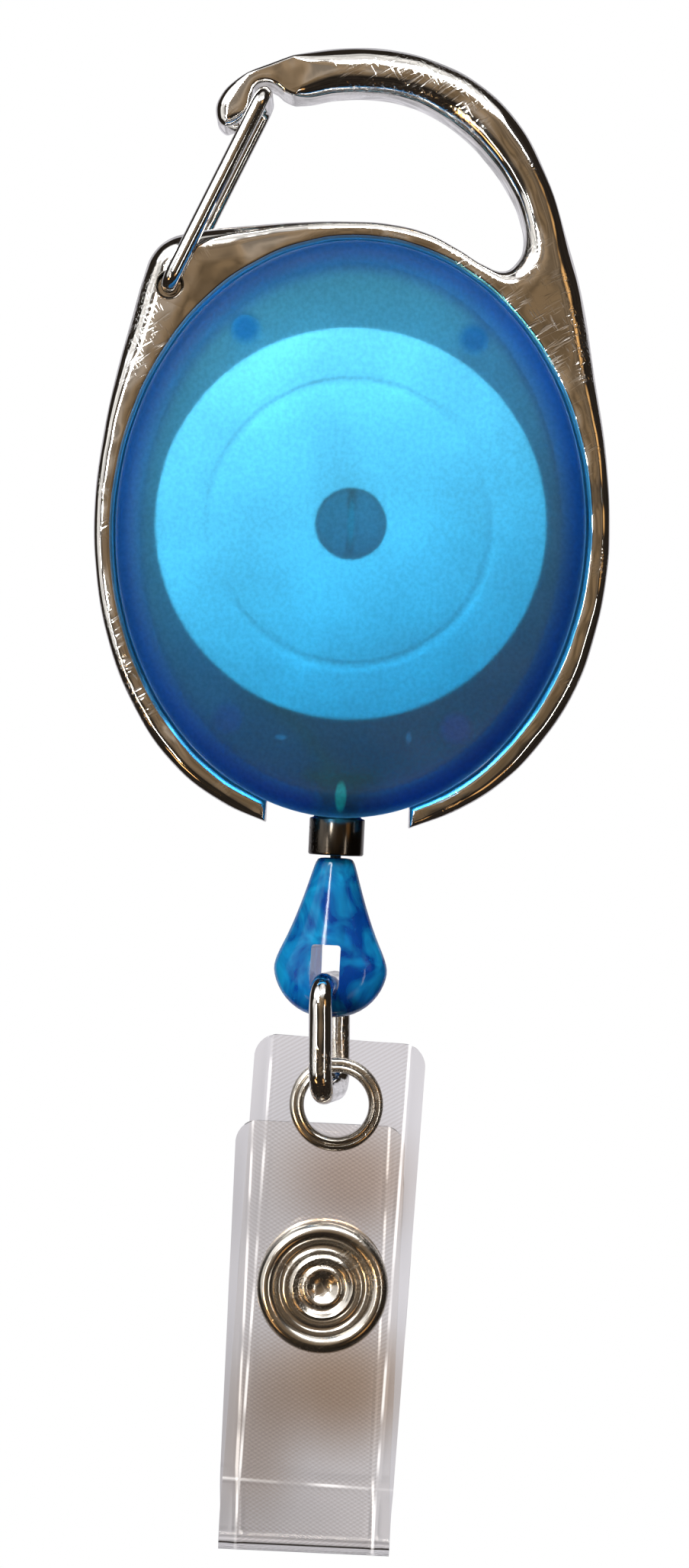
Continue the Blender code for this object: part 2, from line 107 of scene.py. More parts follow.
def feed(tree, node, given):
    """Gives each named input of a node a value, or links it to a socket."""
    for name, value in given.items():
        socket = node.inputs[name]
        if isinstance(value, bpy.types.NodeSocket):
            tree.links.new(value, socket)
        elif socket.type == "RGBA":
            socket.default_value = (*value, 1)
        else:
            socket.default_value = value


def add(tree, kind, given=None, **settings):
    """A new node with these settings and inputs."""
    node = tree.nodes.new("ShaderNode" + kind)
    for name, value in settings.items():
        setattr(node, name, value)
    feed(tree, node, given or {})
    return node


def maths(tree, operation, *values):
    """The result of a sum on numbers and sockets."""
    return add(tree, "Math", dict(enumerate(values)), operation=operation).outputs[0]


def ranged(tree, value, start, end, low=0, high=1, kind="LINEAR"):
    """A value carried from one range to another and held inside it."""
    given = {"Value": value, "From Min": start, "From Max": end, "To Min": low, "To Max": high}
    return add(tree, "MapRange", given, interpolation_type=kind).outputs["Result"]


def blended(tree, share, below, above, kind="MIX"):
    """One colour laid over another by a share of it."""
    given = {"Factor": share, "A": below, "B": above}
    return add(tree, "Mix", given, data_type="RGBA", blend_type=kind).outputs["Result"]


def scaled(tree, vector, scale):
    """A vector or a colour times a number."""
    return add(tree, "VectorMath", {0: vector, "Scale": scale}, operation="SCALE").outputs[0]


def cloud(tree, where, scale, detail, distortion=0):
    """Noise over the surface."""
    given = {"Vector": where, "Scale": scale, "Detail": detail, "Distortion": distortion}
    return add(tree, "TexNoise", given).outputs["Fac"]


def by_ray(tree, kind, shader, other):
    """One shader, and another in its place for one kind of ray."""
    ray = add(tree, "LightPath").outputs[kind]
    given = {"Fac": ray, 1: shader.outputs[0], 2: other.outputs[0]}
    return add(tree, "MixShader", given).outputs["Shader"]


world = bpy.data.worlds.new("room")
world.use_nodes = True
bpy.context.scene.world = world
room = world.node_tree
room.nodes.clear()
way = add(room, "TexCoord").outputs["Generated"]
seen = (0.022, 0.017, 0.013)


def room_patch(below, direction, inner, outer, colour):
    """Paints a soft round patch of the room, its radii in degrees, over what is there already."""
    given = {0: way, 1: Vector(direction).normalized()}
    dot = add(room, "VectorMath", given, operation="DOT_PRODUCT").outputs["Value"]
    start, end = math.cos(math.radians(outer)), math.cos(math.radians(inner))
    return blended(room, ranged(room, dot, start, end, kind="SMOOTHSTEP"), below, colour)


seen = room_patch(seen, (0.0, -0.90, 0.43), 6, 44, (0.27, 0.19, 0.115))
seen = room_patch(seen, (0.10, -0.99, 0.06), 2, 11, (0.18, 0.12, 0.065))
seen = room_patch(seen, (-0.16, -0.97, 0.16), 1, 9, (0.36, 0.29, 0.22))
seen = room_patch(seen, (0.15, -0.50, 0.86), 20, 31, (0.90, 0.88, 0.86))
seen = room_patch(seen, (-0.66, -0.42, 0.62), 20, 28, (1.6, 1.6, 1.62))
seen = room_patch(seen, (-0.85, -0.45, 0.05), 14, 24, (0.95, 0.93, 0.90))
seen = room_patch(seen, (0.72, -0.66, 0.20), 4, 12, (0.85, 0.47, 0.17))
for across in (-0.74, -0.62, -0.50):
    seen = room_patch(seen, (across, -0.50, -0.58), 2.6, 4.4, (3.0, 1.6, 0.60))
seen = room_patch(seen, (0.45, -0.72, -0.52), 5, 10, (0.95, 0.50, 0.18))
seen = room_patch(seen, (0, 1, 0), 44, 56, (0.60, 0.59, 0.63))
uneven = ranged(room, cloud(room, way, 7, 3), 0.38, 0.62, 0.62, 1.30)
backing = add(room, "Background", {"Color": scaled(room, seen, uneven)})
plain = add(room, "Background", {"Color": (1, 1, 1)})
add(room, "OutputWorld", {"Surface": by_ray(room, "Is Camera Ray", backing, plain)})

bm = bmesh.new()
level = Matrix.Translation(place(0, 0, FLOOR_Z))
bmesh.ops.create_grid(bm, x_segments=1, y_segments=1, size=FLOOR_HALF, matrix=level)
floor = new_object("floor", bpy.data.meshes.new("floor"))
bm.to_mesh(floor.data)
bm.free()
paper = bpy.data.materials.new("pale_floor")
paper.use_nodes = True
tree = paper.node_tree
tree.nodes.remove(tree.nodes["Principled BSDF"])
shown = by_ray(tree, "Is Camera Ray", add(tree, "BsdfTransparent"), add(tree, "Emission"))
feed(tree, tree.nodes["Material Output"], {"Surface": shown})
floor.data.materials.append(paper)


# ---------------------------------------------------------------- carabiner frame
# Zinc die casting with bright chrome plating: an oval ring, open at the bottom, that runs up on
# the right into a hook. It is one piece, tumbled smooth, with fine wiping scratches.

CASE_A = 17.25
CASE_B = 21.2
FRAME_HALF_DEPTH = 2.75
FRAME_END_X = 5.3
FRAME_GAP = 0.06
INNER_STEPS = 24
WIDEST_ROUND = 1.7
ROUND_STEPS = 8
SMOOTH_PASSES = 14
WIDTH_SHARE = 0.43  # how much of the metal's width one rounded edge may take
BEND_SHARE = 0.75  # how much of an outward bend's radius it may take
GATE_PIVOT = (-14.2, 17.4)
GATE_WIRE_R = 0.6
QUARTER = math.pi / 2


def new_group(name, usual, results):
    """A node group with its input values and their usual amounts, and the values that it gives."""
    group = bpy.data.node_groups.new(name, "ShaderNodeTree")
    for title, amount in usual.items():
        socket = group.interface.new_socket(title, in_out="INPUT", socket_type="NodeSocketFloat")
        socket.default_value = amount
    for title in results:
        group.interface.new_socket(title, in_out="OUTPUT", socket_type="NodeSocketFloat")
    given = group.nodes.new("NodeGroupInput").outputs
    return group, given, group.nodes.new("NodeGroupOutput")


def make_wear_group():
    """Fine wiping scratches and soft blotches: a roughness and a height over the surface."""
    usual = {"Base Roughness": 0.1, "Spread": 0.05, "Scratches": 1.0, "Waves": 1.0}
    group, given, made = new_group("polish_wear", usual, ("Roughness", "Height"))
    where = add(group, "TexCoord").outputs["Object"]
    blotch = cloud(group, where, 180, 4)
    streaks = 0
    for angle, scale in ((-30, 5200), (-38, 3800), (55, 6500)):
        turn = {"Vector": where, "Rotation": (0, math.radians(angle), 0), "Scale": (9, 1, 1)}
        turned = add(group, "Mapping", turn, vector_type="TEXTURE").outputs[0]
        thin = ranged(group, cloud(group, turned, scale, 1), 0.60, 0.70)
        streaks = maths(group, "MAXIMUM", streaks, thin)
    worn = maths(group, "MULTIPLY", streaks, ranged(group, blotch, 0.46, 0.60))
    scratch = maths(group, "MULTIPLY", worn, given["Scratches"])
    marked = maths(group, "MULTIPLY_ADD", scratch, 2.2, blotch)
    rough = maths(group, "MULTIPLY_ADD", marked, given["Spread"], given["Base Roughness"])
    waves = maths(group, "MULTIPLY", cloud(group, where, 130, 2), given["Waves"])
    high = maths(group, "MULTIPLY_ADD", scratch, -0.03, waves)
    feed(group, made, {"Roughness": rough, "Height": high})
    return group


wear_group = make_wear_group()


def plain_material(name):
    material = bpy.data.materials.new(name)
    material.use_nodes = True
    return material, material.node_tree, material.node_tree.nodes["Principled BSDF"]


def raise_surface(tree, shader, height, strength, distance):
    """Bumps a surface by a height, over a distance in millimetres."""
    given = {"Height": height, "Strength": strength, "Distance": distance * MM}
    feed(tree, shader, {"Normal": add(tree, "Bump", given).outputs["Normal"]})


def metal(name, colour, rough, spread=0.04, scratches=1.0, waves=0.3):
    """Plated metal with the shared wear in its roughness and height."""
    material, tree, shader = plain_material(name)
    given = {"Base Roughness": rough, "Spread": spread, "Scratches": scratches, "Waves": waves}
    wear = add(tree, "Group", given, node_tree=wear_group).outputs
    feed(tree, shader, {"Base Color": colour, "Metallic": 1, "Roughness": wear["Roughness"]})
    raise_surface(tree, shader, wear["Height"], 1.0, 0.25)
    return material


def mesh_object(name, bm):
    """An object from a body drawn in millimetres round the middle of the case."""
    bmesh.ops.translate(bm, verts=bm.verts, vec=(0, 0, -HANG_Z))
    bmesh.ops.scale(bm, verts=bm.verts, vec=(MM, MM, MM))
    mesh = bpy.data.meshes.new(name)
    bm.to_mesh(mesh)
    bm.free()
    return new_object(name, mesh)


def mesh_of(obj):
    """The mesh that an object shows, with its modifiers and its bevel in it."""
    bpy.context.view_layer.update()
    graph = bpy.context.evaluated_depsgraph_get()
    return bpy.data.meshes.new_from_object(obj.evaluated_get(graph))


def settle(obj):
    """The object's mesh as its modifiers leave it, with the modifiers gone."""
    mesh = mesh_of(obj)
    obj.modifiers.clear()
    obj.data = mesh
    mesh.name = obj.name


def combine(obj, operation, bm):
    """Cuts a body from the object or joins it on."""
    other = mesh_object(f"{obj.name}_tool", bm)
    modifier = obj.modifiers.new("shape", "BOOLEAN")
    modifier.operation = operation
    modifier.solver = "EXACT"
    modifier.object = other
    settle(obj)
    bpy.data.objects.remove(other)


def dress(obj, material, nodes, body=None, sharp=35):
    """Smooth shading, material, the CAD nodes it stands for, hidden, and the body it rides on."""
    obj.data.materials.clear()
    obj.data.materials.append(material)
    obj.data.shade_smooth()
    obj.data.set_sharp_from_angle(angle=math.radians(sharp))
    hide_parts(*nodes)
    if body:
        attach(obj, body)


def smooth_step(low, high, value):
    t = min(max((value - low) / (high - low), 0), 1)
    return t * t * (3 - 2 * t)


def curve_mesh(curve):
    """The mesh that a curve makes."""
    holder = new_object(curve.name, curve)
    mesh = mesh_of(holder)
    bpy.data.objects.remove(holder)
    return mesh


def smooth_outline(points, corners):
    """A closed smooth loop of edges through (x, z) points, with the listed points left sharp."""
    curve = bpy.data.curves.new("outline", "CURVE")
    curve.dimensions = "3D"
    spline = curve.splines.new("BEZIER")
    spline.bezier_points.add(len(points) - 1)
    spline.use_cyclic_u = True
    spline.resolution_u = 7
    for i, (knot, (x, z)) in enumerate(zip(spline.bezier_points, points)):
        knot.co = (x, 0, z)
        kind = "VECTOR" if i in corners else "AUTO"
        knot.handle_left_type = kind
        knot.handle_right_type = kind
    mesh = curve_mesh(curve)
    bm = bmesh.new()
    bm.from_mesh(mesh)
    bpy.data.meshes.remove(mesh)
    bmesh.ops.remove_doubles(bm, verts=bm.verts, dist=0.02)
    return bm


def around(bm):
    """The vertices of a closed loop of edges, in order."""
    bm.verts.ensure_lookup_table()
    ring = [bm.verts[0]]
    edge = ring[0].link_edges[0]
    while len(ring) < len(bm.verts):
        ring.append(edge.other_vert(ring[-1]))
        edge = next(e for e in ring[-1].link_edges if e is not edge)
    return ring


def flank(ring):
    """For each point of a clockwise or anticlockwise loop: the way inward, and the convex radius."""
    points = [Vector((v.co.x, v.co.z)) for v in ring]
    count = len(points)
    area = sum(points[i - 1].cross(points[i]) for i in range(count))
    turn = 1 if area > 0 else -1
    inward, radius = [], []
    for i in range(count):
        before = (points[i] - points[i - 1]).normalized()
        after = (points[(i + 1) % count] - points[i]).normalized()
        sum_way = (before + after).normalized()
        mitre = Vector((-sum_way.y, sum_way.x)) * turn / max(0.6, sum_way.dot(before))
        inward.append(mitre)
        far_back, far_on = points[i - 4], points[(i + 4) % count]
        a, b = points[i] - far_back, far_on - points[i]
        bend = turn * math.atan2(a.cross(b), a.dot(b))
        length = (a.length + b.length) / 2
        radius.append(length / bend if bend > 0.02 else 99)
    return inward, radius


chrome = metal("bright_chrome", (0.84, 0.82, 0.79), 0.05, 0.06, 1.0, 2.6)

LEFT_SIDE = [
    (-5.3, -21.75), (-8.6, -20.45), (-12.4, -17.7), (-15.6, -13.3), (-17.6, -8.6), (-18.7, -3.3),
    (-18.95, 1.2), (-18.6, 5.8), (-17.9, 10.3), (-16.9, 14.9), (-16.15, 18.1), (-15.6, 19.7),
    (-14.5, 20.85), (-12.9, 21.45), (-11.2, 21.8),
]
OPENING = [
    (-8.5, 22.15), (-5.0, 22.5), (-1.5, 22.7), (1.8, 22.65), (4.6, 22.1), (7.0, 21.0),
    (8.9, 19.95), (10.3, 19.6), (11.3, 20.3), (11.85, 21.7), (11.5, 23.8), (10.3, 26.1),
    (8.7, 28.1), (7.0, 29.7), (4.7, 31.15), (2.5, 31.95), (0.0, 32.25), (-2.4, 32.1),
    (-5.2, 31.65), (-6.3, 31.95), (-7.1, 32.5), (-7.9, 32.65), (-8.5, 32.35), (-8.75, 31.7),
]
HOOK = [
    (-8.95, 30.6), (-10.3, 29.3), (-10.9, 29.4), (-11.35, 30.3), (-11.1, 31.5), (-9.9, 32.8),
    (-7.3, 34.1), (-4.6, 35.1), (-1.6, 35.6), (1.7, 35.55), (4.8, 34.85), (7.8, 33.5),
    (10.8, 30.9), (13.3, 26.7), (15.0, 22.1), (16.2, 18.4), (17.5, 12.0), (18.6, 6.2),
    (19.1, 0.8), (19.05, -2.4), (18.4, -6.7), (17.1, -11.0), (14.6, -15.2), (12.2, -17.9),
    (9.0, -20.15), (5.3, -21.75),
]
first = -math.acos(FRAME_END_X / (CASE_A + FRAME_GAP))
inner = []
for i in range(INNER_STEPS + 1):
    t = first + (math.pi - 2 * first) * i / INNER_STEPS
    inner.append(((CASE_A + FRAME_GAP) * math.cos(t), (CASE_B + FRAME_GAP) * math.sin(t)))
points = LEFT_SIDE + OPENING + HOOK + inner
hook_start = len(LEFT_SIDE) + len(OPENING)
ends = {0, hook_start + len(HOOK) - 1, hook_start + len(HOOK), len(points) - 1}
bm = smooth_outline(points, ends)
mark = bm.verts.layers.int.new("place")
ring = around(bm)
inward, convex = flank(ring)
walls = [Vector((v.co.x, v.co.z)) for v in ring]


def width_at(i):
    """How far it is across the metal from a point of the outline, straight inward."""
    here, way = walls[i], inward[i].normalized()
    nearest = 20.0
    for k in range(len(walls)):
        a, b = walls[k - 1], walls[k]
        along = b - a
        slant = way.cross(along)
        if abs(slant) < 1e-9:
            continue
        t = (a - here).cross(along) / slant
        u = (a - here).cross(way) / slant
        if 0.05 < t < nearest and -0.001 <= u <= 1.001:
            nearest = t
    return nearest


rounds = []
for i, point in enumerate(walls):
    most = WIDEST_ROUND
    if math.hypot(point.x / CASE_A, point.y / CASE_B) < 1.02:
        most = 0.6
    elif -9.2 < point.x < -5.5 and point.y > 30.2:
        most = 0.3
    elif abs(point.x) < 6.5 and point.y < -19:
        most = 0.4
    rounds.append(min(most, WIDTH_SHARE * width_at(i), BEND_SHARE * convex[i]))
for _ in range(SMOOTH_PASSES):
    rounds = [
        min(here, (rounds[i - 1] + here + rounds[(i + 1) % len(ring)]) / 3)
        for i, here in enumerate(rounds)
    ]
for i, vert in enumerate(ring):
    vert[mark] = i
flat = [vert.co.copy() for vert in ring]


def set_row(verts, side, angle):
    """Puts a row of the frame's section at an angle of its rounded edge, 0 on the wall."""
    for vert in verts:
        i = vert[mark]
        inset = rounds[i] * (1 - math.cos(angle))
        vert.co.x = flat[i].x + inward[i].x * inset
        vert.co.z = flat[i].z + inward[i].y * inset
        vert.co.y = side * (FRAME_HALF_DEPTH - rounds[i] * (1 - math.sin(angle)))


loop = bm.edges[:]
set_row(bm.verts, 1, 0)
for side in (1, -1):
    row = loop
    for k in range(0 if side < 0 else 1, ROUND_STEPS + 1):
        grown = bmesh.ops.extrude_edge_only(bm, edges=row)["geom"]
        row = [e for e in grown if isinstance(e, bmesh.types.BMEdge)]
        verts = [v for v in grown if isinstance(v, bmesh.types.BMVert)]
        set_row(verts, side, QUARTER * k / ROUND_STEPS)
    bmesh.ops.triangle_fill(bm, use_beauty=True, edges=row)
bmesh.ops.recalc_face_normals(bm, faces=bm.faces)
carabiner = mesh_object("carabiner_body", bm)


def spun(profile, at=(0, 0), steps=96, closed=True):
    """A body turned about an axis along y, from (radius, y) pairs drawn as one line."""
    bm = bmesh.new()
    verts = [bm.verts.new((r, y, 0)) for r, y in profile]
    pairs = list(zip(verts, verts[1:]))
    if closed:
        pairs.append((verts[-1], verts[0]))
    edges = [bm.edges.new(pair) for pair in pairs]
    bmesh.ops.spin(
        bm, geom=verts + edges, cent=(0, 0, 0), axis=(0, 1, 0), angle=2 * math.pi,
        steps=steps, use_merge=True,
    )
    bmesh.ops.remove_doubles(bm, verts=bm.verts, dist=1e-4)
    bmesh.ops.recalc_face_normals(bm, faces=bm.faces)
    bmesh.ops.translate(bm, verts=bm.verts, vec=(at[0], 0, at[1]))
    return bm


def soften(bm, offset, segments=2, angle=30):
    """Rounds every edge that turns more than the angle."""
    sharp = [e for e in bm.edges if e.is_manifold and e.calc_face_angle() > math.radians(angle)]
    bmesh.ops.bevel(
        bm, geom=sharp, affect="EDGES", offset=offset, segments=segments, profile=0.5,
        material=-1, clamp_overlap=True,
    )


def merged(bodies):
    """Several bodies in one."""
    whole = bodies[0]
    for body in bodies[1:]:
        mesh = bpy.data.meshes.new("part")
        body.to_mesh(mesh)
        body.free()
        whole.from_mesh(mesh)
        bpy.data.meshes.remove(mesh)
    return whole


sockets = []
for way_out in (-1, 1):
    depth = way_out * FRAME_HALF_DEPTH
    profile = [
        (0, depth * 1.3), (1.15, depth * 1.3), (1.12, depth), (0.9, depth * 0.9),
        (0.85, depth * 0.3), (0, depth * 0.3),
    ]
    sockets.append(spun(profile, GATE_PIVOT, 40, False))
combine(carabiner, "DIFFERENCE", merged(sockets))
dress(carabiner, chrome, ["carabiner_frame"], "case", 40)


# ---------------------------------------------------------------- case
# Two injection-moulded shells of frosted translucent blue plastic, welded to each other on four
# posts. Each has a raised rim round its flat, and the rear one carries the slotted axle post.

CASE_MEAN = 19.2  # radius at which the section is drawn, before it is made oval
CASE_FLAT = 16.5
AXLE = (0, 0.4)
AXLE_R = 2.45
AXLE_SLOT = 0.6
EXIT_HOLE_R = 1.85
WELDS = [(x, z) for x in (-8.4, 8.4) for z in (-14.3, 14.3)]


def make_grain_group():
    """Moulded frosting: fine grain over slow ripples, as a height and a mask."""
    group, given, made = new_group("frosting", {"Grain": 2500}, ("Height", "Mask"))
    where = add(group, "TexCoord").outputs["Object"]
    fine = cloud(group, where, given["Grain"], 3)
    slow = cloud(group, where, 220, 3)
    feed(group, made, {"Height": maths(group, "MULTIPLY_ADD", slow, 0.35, fine), "Mask": slow})
    return group


grain_group = make_grain_group()


def clear_plastic(name, tint, lamp_tint, clear, rough, ior, grain, bump):
    """See-through plastic that lamps shine through, with a moulded grain."""
    material, tree, shader = plain_material(name)
    frost = add(tree, "Group", {"Grain": grain}, node_tree=grain_group).outputs
    level = maths(tree, "MULTIPLY_ADD", frost["Mask"], rough * 0.5, rough * 0.75)
    given = {"Base Color": tint, "Transmission Weight": clear, "IOR": ior, "Roughness": level}
    feed(tree, shader, given)
    raise_surface(tree, shader, frost["Height"], 0.3, bump)
    through = add(tree, "BsdfTransparent", {"Color": lamp_tint})
    shown = by_ray(tree, "Is Shadow Ray", shader, through)
    feed(tree, tree.nodes["Material Output"], {"Surface": shown})
    return material


def oval_mask(tree, centre, radii, outer, inner):
    """A mask over an oval round an axis along y: 0 at the outer share of its radii, 1 at the inner."""
    given = {
        "Vector": add(tree, "TexCoord").outputs["Object"],
        "Location": place(centre[0], 0, centre[1]),
        "Scale": (radii[0] * MM, 1, radii[1] * MM),
    }
    oval = add(tree, "Mapping", given, vector_type="TEXTURE").outputs[0]
    flat = add(tree, "VectorMath", {0: oval, 1: (1, 0, 1)}, operation="MULTIPLY").outputs[0]
    far = add(tree, "VectorMath", {0: flat}, operation="LENGTH").outputs["Value"]
    return ranged(tree, far, outer, inner, kind="SMOOTHSTEP")


def tint_case_and_paint_shade(material, top, bottom, tints_and_painted_light):
    """A tint with painted shade, deepening down and to the right away from the lamps at the top left;
    other tints and painted light are laid over it in round patches, and it is mottled.
    """
    tree = material.node_tree
    where = add(tree, "TexCoord").outputs["Object"]
    given = {0: where, 1: (-0.4, 0, 1)}
    slant = add(tree, "VectorMath", given, operation="DOT_PRODUCT").outputs["Value"]
    # Painted shade: the case's colour is lighter at the top left and darker down and to the right.
    painted_shade_fall = ranged(tree, slant, place(0, 0, 0.75 * CASE_B).z, place(0, 0, -0.85 * CASE_B).z)
    last = blended(tree, painted_shade_fall, top, bottom)
    for centre, radii, outer, inner, colour in tints_and_painted_light:
        last = blended(tree, oval_mask(tree, centre, radii, outer, inner), last, colour)
    for size, low, high in ((3200, 0.86, 1.14), (190, 0.94, 1.05)):
        grain = ranged(tree, cloud(tree, where, size, 3), 0.35, 0.65, low, high)
        last = scaled(tree, last, grain)
    feed(tree, tree.nodes["Principled BSDF"], {"Base Color": last})


blue_case = clear_plastic(
    "frosted_blue", (0.05, 0.42, 0.70), (0.48, 0.78, 0.86), 0.95, 0.60, 1.18, 2600, 0.05
)
tints_and_painted_light = [(at, (1.5, 1.5), 1.0, 0.4, (0.04, 0.19, 0.36)) for at in WELDS]
tints_and_painted_light += [
    # Darker round the rim: partly the thick curved wall seen edge-on, partly painted shade along the
    # rounded edge.
    ((0, 0), (CASE_A, CASE_B), 0.86, 0.97, (0.012, 0.15, 0.42)),
    # Painted light: a lighter line where light shows through the axle post's slot.
    ((0, 0.4), (0.4, 2.3), 1.0, 0.3, (0.08, 0.50, 0.68)),
    # Painted highlights: two small pale glints low on the inner wall.
    ((-4.4, -15.5), (0.6, 0.3), 1.0, 0.2, (0.05, 0.50, 0.75)),
    ((4.95, -15.1), (0.3, 0.6), 1.0, 0.2, (0.05, 0.50, 0.75)),
    # Painted highlight: a bright cyan streak over the cord's exit channel.
    ((0.18, -19.6), (0.5, 1.3), 1.0, 0.6, (0.02, 0.90, 1.0)),
]
# Painted shade on the front shell: light blue at the top, deep blue at the bottom.
tint_case_and_paint_shade(blue_case, (0.185, 0.42, 0.52), (0.0, 0.21, 0.34), tints_and_painted_light)
blue_rear = clear_plastic(
    "frosted_blue_rear", (0.02, 0.16, 0.38), (0.2, 0.45, 0.65), 0.8, 0.45, 1.25, 2600, 0.02
)
# Painted shade on the rear shell: bright cyan at the top, nearly dark blue at the bottom.
tint_case_and_paint_shade(blue_rear, (0.16, 0.85, 1.0), (0.001, 0.03, 0.30), [])


def shell(side):
    """One half of the case, its rim and wall drawn as a section and turned, then made oval."""
    section = [
        (0, 4.42), (16.9, 4.42), (17.25, 4.66), (17.6, 4.7), (18.2, 4.65), (18.75, 4.4),
        (19.1, 3.9), (19.2, 3.3), (19.2, 0.9), (18.5, 0.9), (18.5, 0.12), (17.6, 0.12),
        (17.5, 3.3), (17.1, 3.5), (0, 3.5),
    ]
    bm = spun([(r, side * y) for r, y in section], (0, 0), 160, False)
    for vert in bm.verts:
        r = math.hypot(vert.co.x, vert.co.z)
        rim = CASE_MEAN - max(r, CASE_FLAT)
        inner = min(r / CASE_FLAT, 1)
        vert.co.x *= (CASE_A - rim) * inner / max(r, 1e-6)
        vert.co.z *= (CASE_B - rim) * inner / max(r, 1e-6)
    return bm


def exit_hole():
    """Rod across the parting line, for the ferrule's neck."""
    bm = bmesh.new()
    bmesh.ops.create_cone(
        bm, cap_ends=True, segments=40, radius1=EXIT_HOLE_R, radius2=EXIT_HOLE_R, depth=6,
        matrix=Matrix.Translation((0, 0, -20.5)),
    )
    return bm


def block(centre, size):
    """A box from its middle and its lengths."""
    bm = bmesh.new()
    shape = Matrix.Translation(centre) @ Matrix.Diagonal((*size, 1))
    bmesh.ops.create_cube(bm, size=1, matrix=shape)
    return bm


front_shell = mesh_object("front_shell", shell(-1))
combine(front_shell, "DIFFERENCE", exit_hole())
dress(front_shell, blue_case, ["front_cover"], "case", 50)

rear_shell = mesh_object("rear_shell", shell(1))
profile = [(0, 3.9), (AXLE_R, 3.9), (AXLE_R, -2.8), (AXLE_R - 0.25, -3.15), (0, -3.15)]
post = spun(profile, AXLE, 48, False)
welds = [spun([(0, 3.9), (1.3, 3.9), (1.1, -3.2), (0, -3.2)], at, 32, False) for at in WELDS]
combine(rear_shell, "UNION", merged([post, *welds]))
combine(rear_shell, "DIFFERENCE", block((0, -0.6, AXLE[1]), (AXLE_SLOT, 6.4, 6)))
combine(rear_shell, "DIFFERENCE", exit_hole())
dress(rear_shell, blue_rear, ["rear_cover"], "case", 50)


# ---------------------------------------------------------------- exit ferrule
# Turned brass bush with dark plating. Its flange sits inside the case and its collar stands out
# below it, with the cord running through.

def rotate(bm, angle, axis):
    """Turns a body about an axis through the middle of the case."""
    bmesh.ops.rotate(bm, verts=bm.verts, matrix=Matrix.Rotation(angle, 3, axis), cent=(0, 0, 0))


dark_plate = metal("dark_plating", (0.085, 0.072, 0.058), 0.14, 0.10)
profile = [
    (0.9, -18.0), (2.9, -18.0), (2.9, -18.8), (1.75, -18.9), (1.75, -21.2), (2.05, -21.3),
    (2.05, -23.9), (1.97, -24.0), (1.3, -24.0), (0.9, -23.6),
]
bm = spun(profile, (0, 0), 64)
soften(bm, 0.07, 2)
rotate(bm, QUARTER, "X")
ferrule = mesh_object("ferrule", bm)
dress(ferrule, dark_plate, ["exit_ferrule"], "case")


# ---------------------------------------------------------------- spool and power spring
# White moulded disc with a drum behind it. The flat steel spring lies coiled in the drum, held
# in the slot of the axle post, and winds up as the cord is drawn out.

SPOOL_R = 14.5
DRUM_R = 10.6


def two_tone(tree, share, first, second):
    """A colour between two, each given as its place in the share and the colour itself."""
    ramp = add(tree, "ValToRGB", {"Fac": share})
    for element, (position, colour) in zip(ramp.color_ramp.elements, (first, second)):
        element.position = position
        element.color = (*colour, 1)
    return ramp.outputs["Color"]


white, tree, shader = plain_material("white_moulding")
frost = add(tree, "Group", {"Grain": 1400}, node_tree=grain_group).outputs
tone = two_tone(tree, frost["Mask"], (0.35, (0.80, 0.82, 0.84)), (0.65, (0.92, 0.93, 0.94)))
feed(tree, shader, {"Base Color": tone, "Roughness": 0.45})
raise_surface(tree, shader, frost["Height"], 0.3, 0.02)

profile = [
    (2.65, -3.1), (10.1, -3.1), (10.3, -2.95), (10.7, -2.95), (10.9, -3.1), (14.4, -3.1),
    (SPOOL_R, -2.95), (SPOOL_R, -2.35), (DRUM_R, -2.3), (DRUM_R, 1.9), (14.2, 1.9), (14.3, 2.55),
    (9.9, 2.6), (9.9, -2.3), (2.65, -2.3),
]
bm = spun(profile, AXLE, 128)
soften(bm, 0.06, 2)
disc = mesh_object("spool_disc", bm)
dress(disc, white, ["spool"], "spool")

spring_steel = metal("spring_steel", (0.50, 0.51, 0.53), 0.25, 0.08)
SPRING_TURNS = 8
SPRING_INNER = AXLE_R + 0.45
SPRING_OUTER = 9.55
curve = bpy.data.curves.new("spring_line", "CURVE")
curve.dimensions = "3D"
curve.extrude = 2.1 * MM
spline = curve.splines.new("POLY")
steps = SPRING_TURNS * 48
places = [(0, 0.3), (0, 1.7)]
for i in range(steps + 1):
    t = QUARTER - 2 * math.pi * SPRING_TURNS * i / steps
    r = SPRING_INNER + (SPRING_OUTER - SPRING_INNER) * i / steps
    places.append((-r * math.cos(t), r * math.sin(t)))
spline.points.add(len(places) - 1)
for point, (x, z) in zip(spline.points, places):
    point.co = (x * MM, z * MM, 0, 1)
strip_mesh = curve_mesh(curve)
upright = Matrix.Rotation(QUARTER, 4, "X")
strip_mesh.transform(Matrix.Translation(place(AXLE[0], 0.2, AXLE[1])) @ upright)
spring = new_object("spring_strip", strip_mesh)
thick = spring.modifiers.new("thick", "SOLIDIFY")
thick.thickness = 0.2 * MM
thick.offset = 0
settle(spring)
dress(spring, spring_steel, ["power_spring"], "case")


# ---------------------------------------------------------------- cord and knot
# Thin braided black nylon: wound in three layers round the drum, off it at a tangent to the
# exit, down through the ferrule and tied in a knot inside the bead.

CORD_R = 0.4
CORD_PITCH = 0.9
COLUMNS = 4
ROWS = 3
TURN_STEPS = 60
EXIT_Z = -17.4

nylon, tree, shader = plain_material("braided_nylon")
where = add(tree, "TexCoord").outputs["Object"]
weave = 0
for direction in (1, -1):
    turn = {"Vector": where, "Rotation": (0.6 * direction, 0.8 * direction, 0.5)}
    turned = add(tree, "Mapping", turn).outputs[0]
    band = add(tree, "TexWave", {"Vector": turned, "Scale": 1100, "Distortion": 1.5})
    weave = maths(tree, "MAXIMUM", weave, band.outputs["Fac"])
tone = two_tone(tree, weave, (0, (0.004, 0.004, 0.005)), (1, (0.030, 0.030, 0.034)))
feed(tree, shader, {"Base Color": tone, "Roughness": 0.6, "Sheen Weight": 0.3})
raise_surface(tree, shader, weave, 0.6, 0.05)


